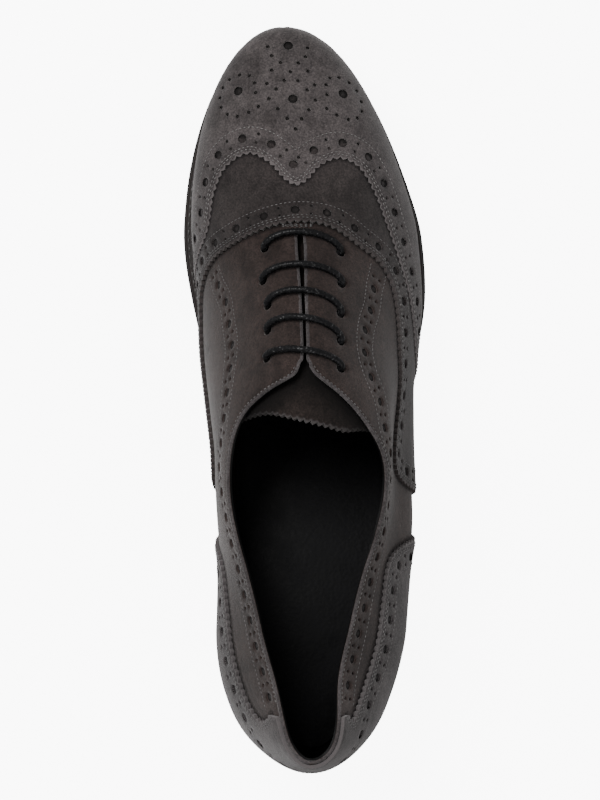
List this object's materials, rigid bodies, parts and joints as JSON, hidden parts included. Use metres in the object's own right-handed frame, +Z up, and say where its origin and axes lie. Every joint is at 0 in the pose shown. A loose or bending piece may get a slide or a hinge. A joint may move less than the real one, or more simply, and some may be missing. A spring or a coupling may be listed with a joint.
{
  "type": "brogue",
  "caption": "Low wingtip oxford shoe in grey suede with perforated overlays, laced throat, welted leather sole and a low stacked heel.",
  "frame": {"origin": "on the floor under the middle of the shoe's bounding box", "axes": "+X to the outer (lateral) side, +Y towards the toe, +Z up"},
  "size_m": [0.0866, 0.2634, 0.0867],
  "materials": {
    "grey_suede": "matt suede nap",
    "grey_suede_cap": "matt suede nap",
    "black_leather": "soft satin",
    "dark_sole_leather": "waxed, slightly glossy",
    "brown_welt_leather": "waxed",
    "black_rubber": "matt",
    "waxed_black_cord": "waxed braid"
  },
  "bodies": {
    "root": {"outsole": "dark_sole_leather", "welt": "brown_welt_leather", "heel_stack": "dark_sole_leather", "heel_top_piece": "black_rubber", "insole": "black_leather", "upper": "grey_suede", "tongue": "grey_suede", "vamp": "grey_suede", "toe_cap": "grey_suede_cap", "heel_counter": "grey_suede_cap", "lace_bar_1": "waxed_black_cord", "lace_bar_2": "waxed_black_cord", "lace_bar_3": "waxed_black_cord", "lace_bar_4": "waxed_black_cord", "lace_bar_5": "waxed_black_cord"}
  },
  "joints": []
}
